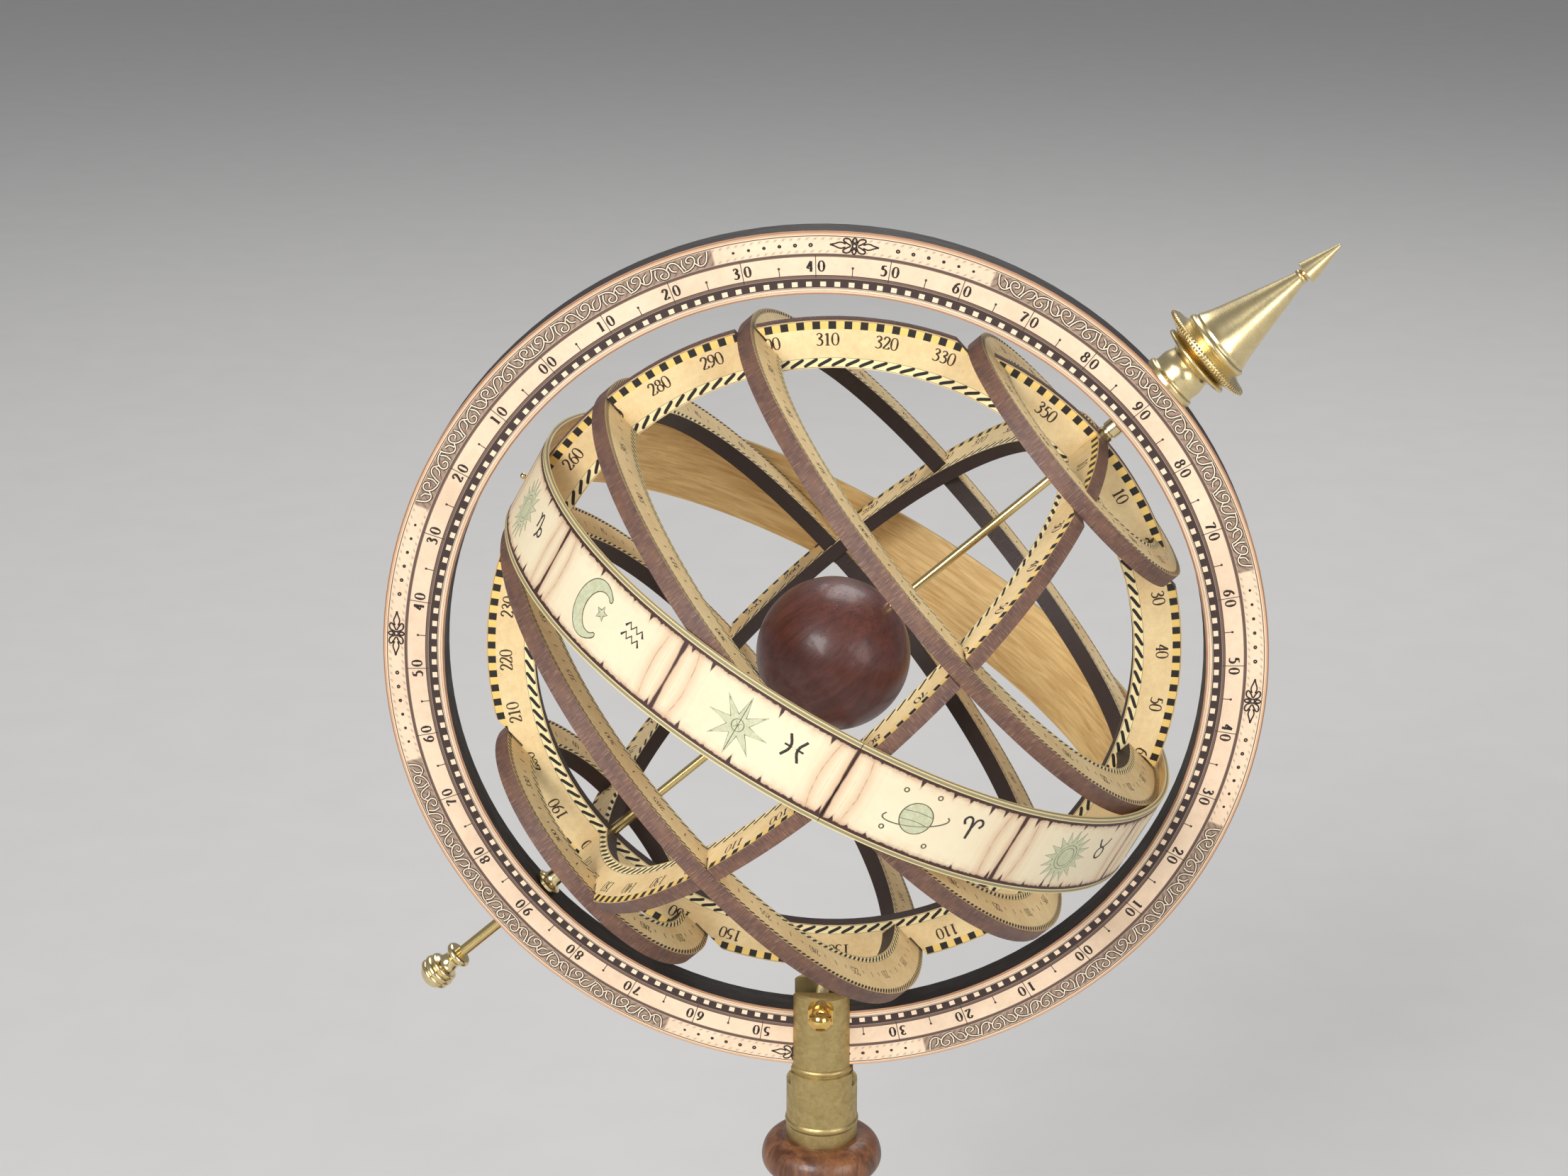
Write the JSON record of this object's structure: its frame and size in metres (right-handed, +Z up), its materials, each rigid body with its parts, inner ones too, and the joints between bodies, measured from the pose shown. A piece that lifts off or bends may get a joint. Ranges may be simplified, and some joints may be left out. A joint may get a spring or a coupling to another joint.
{
  "type": "armillary sphere",
  "caption": "Tabletop armillary sphere: a meridian ring held in a clamping fork on a turned stand carries a turning cage of half-lapped rings with a zodiac band and a ball.",
  "frame": {"origin": "middle of the felt pad's underside, where the stand rests on the table", "axes": "+Z up; +X to the right along the meridian ring, on the side of the north pole; +Y from the nut's side of the ring to the far side"},
  "size_m": [0.2534, 0.1922, 0.405],
  "materials": {
    "felt": "matte",
    "turned_wood": "satin varnish",
    "ball_wood": "gloss varnish",
    "fork_brass": "satin, aged",
    "bright_brass": "polished",
    "bolt_steel": "bright",
    "ring_board": "dark stained edge",
    "scale_paper": "printed, matte",
    "cage_board": "printed faces, dark edges",
    "band_veneer": "printed outside, plain inside",
    "rod_brass": "satin"
  },
  "bodies": {
    "stand": {"felt_pad": "felt", "stand_base": "turned_wood", "stand_column": "turned_wood", "ring_fork": "fork_brass", "clamp_bolt": "bolt_steel", "acorn_nut": "bright_brass"},
    "meridian": {"meridian_ring": "ring_board", "front_scale_card": "scale_paper", "rear_scale_card": "scale_paper", "finial_foot": "bright_brass", "finial_rosette": "bright_brass", "finial_spire": "bright_brass", "finial_arrow": "bright_brass"},
    "cage": {"solstitial_colure": "cage_board", "equinoctial_colure": "cage_board", "equator_ring": "cage_board", "tropic_of_cancer": "cage_board", "tropic_of_capricorn": "cage_board", "arctic_circle": "cage_board", "antarctic_circle": "cage_board", "zodiac_band": "band_veneer", "band_pins": "bright_brass", "polar_rod": "rod_brass", "drive_sleeve": "rod_brass", "earth_ball": "ball_wood", "ball_collars": "bright_brass", "south_knob": "bright_brass", "north_collar": "bright_brass", "south_collar": "bright_brass"}
  },
  "joints": [
    {"name": "meridian_tilt", "type": "hinge", "parent": "stand", "child": "meridian", "pos_m": [0, 0, 0.285], "axis": [0, -1, 0], "range_deg": [-41.2, 38.8]},
    {"name": "cage_spin", "type": "hinge", "parent": "meridian", "child": "cage", "pos_m": [0, 0, 0.285], "axis": [0.7524, 0, 0.6587], "continuous": true}
  ]
}
